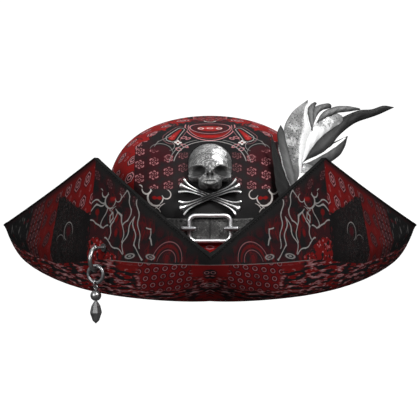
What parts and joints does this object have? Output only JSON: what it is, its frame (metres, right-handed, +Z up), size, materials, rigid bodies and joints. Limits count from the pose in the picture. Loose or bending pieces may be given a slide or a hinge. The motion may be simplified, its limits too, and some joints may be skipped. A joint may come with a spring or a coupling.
{
  "type": "pirate hat",
  "caption": "Three-cornered felt hat covered in patchwork print, with a skull badge, a buckle ring, a feather plume and a hanging charm.",
  "frame": {"origin": "centre of the head opening, on the underside of the brim", "axes": "+X to the right as seen from the front, +Y to the back of the hat, +Z up"},
  "size_m": [0.3694, 0.3215, 0.1769],
  "materials": {
    "printed_fabric": "printed cotton",
    "lining_fabric": "woven",
    "binding_tape": "woven tape",
    "sweatband_leather": "smooth",
    "stiff_felt": "stiffened felt",
    "suede": "suede",
    "feather_bright": "satin",
    "quill": "satin",
    "feather_grey": "satin",
    "polished_steel": "polished",
    "antique_silver": "antiqued",
    "plain_steel": "plain",
    "dark_steel": "antiqued",
    "charm_silver": "antiqued"
  },
  "bodies": {
    "hat": {"crown_cover": "printed_fabric", "crown_stiffener": "stiff_felt", "crown_lining": "lining_fabric", "sweatband": "sweatband_leather", "brim_board": "stiff_felt", "flap_board_right": "stiff_felt", "flap_board_back": "stiff_felt", "flap_board_left": "stiff_felt", "brim_outer_cover": "printed_fabric", "brim_inner_cover": "lining_fabric", "edge_binding": "binding_tape", "hat_band_right": "suede", "hat_band_left": "suede", "hat_band_tab": "suede", "hat_band_rivets": "plain_steel", "keeper_right": "polished_steel", "keeper_left": "polished_steel", "keeper_plates": "plain_steel", "skull_badge": "antique_silver", "bone_rising": "antique_silver", "bone_falling": "antique_silver", "badge_posts": "plain_steel", "badge_nuts": "plain_steel", "feather_quill": "quill", "feather_wrap": "suede", "feather_socket": "suede", "feather_main": "feather_bright", "feather_side": "feather_bright", "feather_dark_leaf": "feather_grey", "feather_grey_leaf": "feather_grey", "feather_curl_inner": "feather_grey", "feather_curl_middle": "feather_grey", "feather_curl_outer": "feather_grey", "feather_tail": "feather_grey", "feather_low_leaf": "feather_grey", "feather_stem_leaf": "feather_grey", "charm_eyelet": "dark_steel"},
    "buckle": {"buckle_ring": "polished_steel"},
    "hook": {"charm_hook": "dark_steel", "hook_washer": "dark_steel"},
    "ring": {"charm_ring": "charm_silver"},
    "pendant": {"charm_link": "charm_silver", "charm_pin": "charm_silver", "charm_bead": "charm_silver", "charm_drop": "charm_silver"}
  },
  "joints": [
    {"name": "buckle_slide", "type": "slide", "parent": "hat", "child": "buckle", "axis": [0, 0, 1], "range_m": [-0.005, 0.002]},
    {"name": "hook_swing", "type": "hinge", "parent": "hat", "child": "hook", "pos_m": [-0.08448, -0.08865, 0.0397], "axis": [-0.7921, -0.6104, 0], "range_deg": [-24, 40]},
    {"name": "ring_swing", "type": "hinge", "parent": "hook", "child": "ring", "pos_m": [-0.09123, -0.0934, 0.0255], "axis": [-0.893, 0.45, 0], "range_deg": [-4, 50]},
    {"name": "pendant_swing", "type": "hinge", "parent": "ring", "child": "pendant", "pos_m": [-0.09123, -0.0934, 0.0121], "axis": [-0.893, 0.45, 0], "range_deg": [-10, 60]}
  ]
}
